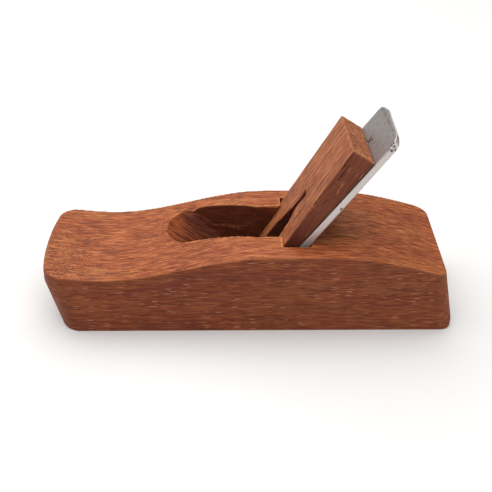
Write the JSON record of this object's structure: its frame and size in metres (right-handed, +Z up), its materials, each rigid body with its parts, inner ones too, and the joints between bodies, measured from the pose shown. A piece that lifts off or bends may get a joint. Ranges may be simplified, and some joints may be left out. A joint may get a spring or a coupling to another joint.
{
  "type": "wooden hand plane",
  "caption": "Small wooden smoothing plane: a hardwood stock with a low toe and raised middle, a bare cutting iron and a forked wedge that holds it.",
  "frame": {"origin": "on the sole, under the middle of the stock's length and width", "axes": "+X from the toe to the heel, +Y to the left of the user, +Z up from the sole"},
  "size_m": [0.206, 0.064, 0.1014],
  "materials": {
    "stock_wood": "bare reddish-brown tropical hardwood, hand planed and worn, fine straight grain with short dark pores",
    "wedge_wood": "the same hardwood, sawn and chiselled, with torn grain and rough end grain",
    "iron_steel": "old ground tool steel, dull grey with brighter ground edges and a few rust spots"
  },
  "bodies": {
    "stock": {"stock": "stock_wood"},
    "iron": {"iron": "iron_steel"},
    "wedge": {"wedge": "wedge_wood"}
  },
  "joints": [
    {"name": "iron_slide", "type": "slide", "parent": "stock", "child": "iron", "axis": [0.5807, 0, 0.8141], "range_m": [-0.001, 0.062]},
    {"name": "wedge_slide", "type": "slide", "parent": "iron", "child": "wedge", "axis": [0.5884, 0, 0.8086], "range_m": [0, 0.055]}
  ]
}
